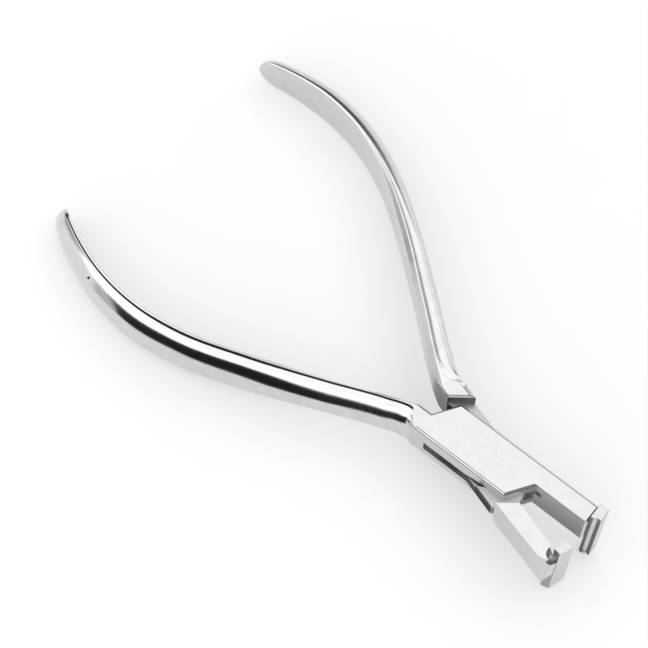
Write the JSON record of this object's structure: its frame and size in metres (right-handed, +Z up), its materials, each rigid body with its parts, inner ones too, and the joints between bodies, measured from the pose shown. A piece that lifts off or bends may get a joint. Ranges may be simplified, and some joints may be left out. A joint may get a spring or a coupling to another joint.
{
  "type": "crimping pliers",
  "caption": "Small box-joint pliers with bowed half-round handles and slender jaws, each jaw ending in a tall upright stepped die.",
  "frame": {"origin": "middle of the pivot rivet's lower face, which is flush with the underside of the box", "axes": "+X along the pliers from the pivot to the jaws, +Y towards the jaw of the box half, +Z up along the pivot; the box's middle plane is at z = 0.0051"},
  "size_m": [0.1304, 0.072, 0.0227],
  "materials": {
    "satin_steel": "fine satin brushing",
    "die_steel": "ground"
  },
  "bodies": {
    "box_side": {"box_half": "satin_steel", "box_jaw_die": "die_steel", "pivot_rivet": "satin_steel"},
    "tenon_side": {"tenon_half": "satin_steel", "tenon_jaw_die": "die_steel"}
  },
  "joints": [
    {"name": "pivot", "type": "hinge", "parent": "box_side", "child": "tenon_side", "pos_m": [0, 0, 0.0051], "axis": [0, 0, 1], "range_deg": [-6, 16.6]}
  ]
}
